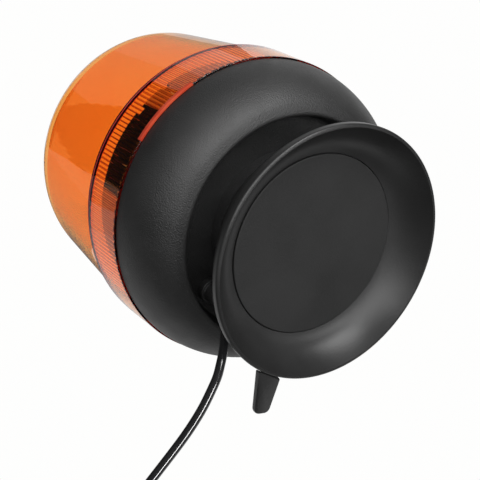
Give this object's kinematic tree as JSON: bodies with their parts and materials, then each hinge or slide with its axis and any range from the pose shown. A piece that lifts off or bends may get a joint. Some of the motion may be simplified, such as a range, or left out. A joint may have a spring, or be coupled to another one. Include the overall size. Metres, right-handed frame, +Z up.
{
  "type": "led warning beacon",
  "caption": "Amber LED warning beacon with a domed lens, a black bowl and a magnetic suction cup, fed by a coiled cord with a vehicle accessory plug.",
  "frame": {"origin": "On the beacon's axis, in the plane that the lip of the suction cup stands on", "axes": "+Z up along the beacon's axis towards the top of the lens, +Y towards the cord's coil and plug, +X to the right of someone looking along +Y"},
  "size_m": [0.1324, 0.297, 0.175],
  "materials": {
    "black_rubber": "matte moulded rubber",
    "black_plastic": "finely grained black moulding",
    "amber_plastic": "clear amber moulding, polished outside, fluted inside the band",
    "zinc_steel": "zinc-plated steel",
    "ferrite": "sintered grey-black ferrite",
    "aluminium": "plain extruded aluminium",
    "circuit_board": "green solder mask",
    "white_board": "white solder mask with clear emitters",
    "brass": "plain turned brass",
    "terminal_plastic": "green moulding",
    "capacitor_sleeve": "dark shrink sleeve",
    "copper_winding": "enamelled copper wire",
    "red_insulation": "red insulation",
    "black_cord": "smooth black cord jacket",
    "fuse_glass": "clear glass tube"
  },
  "bodies": {
    "base": {"suction_cup": "black_rubber", "pad_cover": "black_rubber", "holding_magnet": "ferrite", "yoke_plate": "zinc_steel", "base_bolt": "zinc_steel", "base_washer": "zinc_steel", "base_nut": "zinc_steel", "base_bowl": "black_plastic", "cable_gland": "black_plastic", "gland_nut": "black_plastic", "rim_gasket": "black_rubber", "inner_drum": "black_plastic", "driver_board": "circuit_board", "terminal_block": "terminal_plastic", "smoothing_capacitor": "capacitor_sleeve", "choke_coil": "copper_winding", "driver_chip": "black_plastic", "tower_core": "aluminium", "top_led_board": "white_board", "tower_lead": "black_plastic", "supply_wire_red": "red_insulation", "supply_wire_black": "black_cord", "power_cord": "black_cord", "cord_coil": "black_cord", "cord_tie_1": "black_plastic", "cord_tie_2": "black_plastic", "cord_tail": "black_cord", "plug_relief": "black_rubber", "plug_shell_upper": "black_plastic", "plug_shell_lower": "black_plastic", "plug_rear_contact": "brass", "plug_spring": "zinc_steel", "plug_nose_ring": "black_plastic", "drum_screw_1": "zinc_steel", "board_screw_1": "zinc_steel", "tower_screw_1": "zinc_steel", "drum_screw_2": "zinc_steel", "board_screw_2": "zinc_steel", "tower_screw_2": "zinc_steel", "drum_screw_3": "zinc_steel", "board_screw_3": "zinc_steel", "tower_screw_3": "zinc_steel", "led_strip_1": "white_board", "led_strip_2": "white_board", "led_strip_3": "white_board", "led_strip_4": "white_board", "led_strip_5": "white_board", "led_strip_6": "white_board"},
    "lens": {"amber_lens": "amber_plastic"},
    "tab": {"release_tab": "black_rubber"},
    "plug_tip": {"plug_tip": "brass", "plug_fuse": "fuse_glass"},
    "plug_contact_1": {"plug_side_contact_1": "zinc_steel"},
    "plug_contact_2": {"plug_side_contact_2": "zinc_steel"}
  },
  "joints": [
    {"name": "lens_twist", "type": "hinge", "parent": "base", "child": "lens", "pos_m": [0, 0, 0.0529], "axis": [0, 0, 1], "range_deg": [0, 25]},
    {"name": "tab_lift", "type": "hinge", "parent": "base", "child": "tab", "pos_m": [0.0117, 0.04913, 0.0031], "axis": [0.9728, -0.2317, 0], "range_deg": [0, 70], "stiffness_Nm_per_rad": 0.01},
    {"name": "tip_press", "type": "slide", "parent": "base", "child": "plug_tip", "axis": [1, 0, 0], "range_m": [0, 0.003], "stiffness_N_per_m": 600, "springref_m": -0.002, "deforming": ["plug_spring"]},
    {"name": "contact_1_press", "type": "hinge", "parent": "base", "child": "plug_contact_1", "pos_m": [-0.03132, 0.22617, 0.01115], "axis": [0, 0, -1], "range_deg": [0, 6], "stiffness_Nm_per_rad": 0.5, "springref_deg": -1.72},
    {"name": "contact_2_press", "type": "hinge", "parent": "base", "child": "plug_contact_2", "pos_m": [-0.03132, 0.21183, 0.01115], "axis": [0, 0, 1], "range_deg": [0, 6], "stiffness_Nm_per_rad": 0.5, "springref_deg": -1.72}
  ]
}
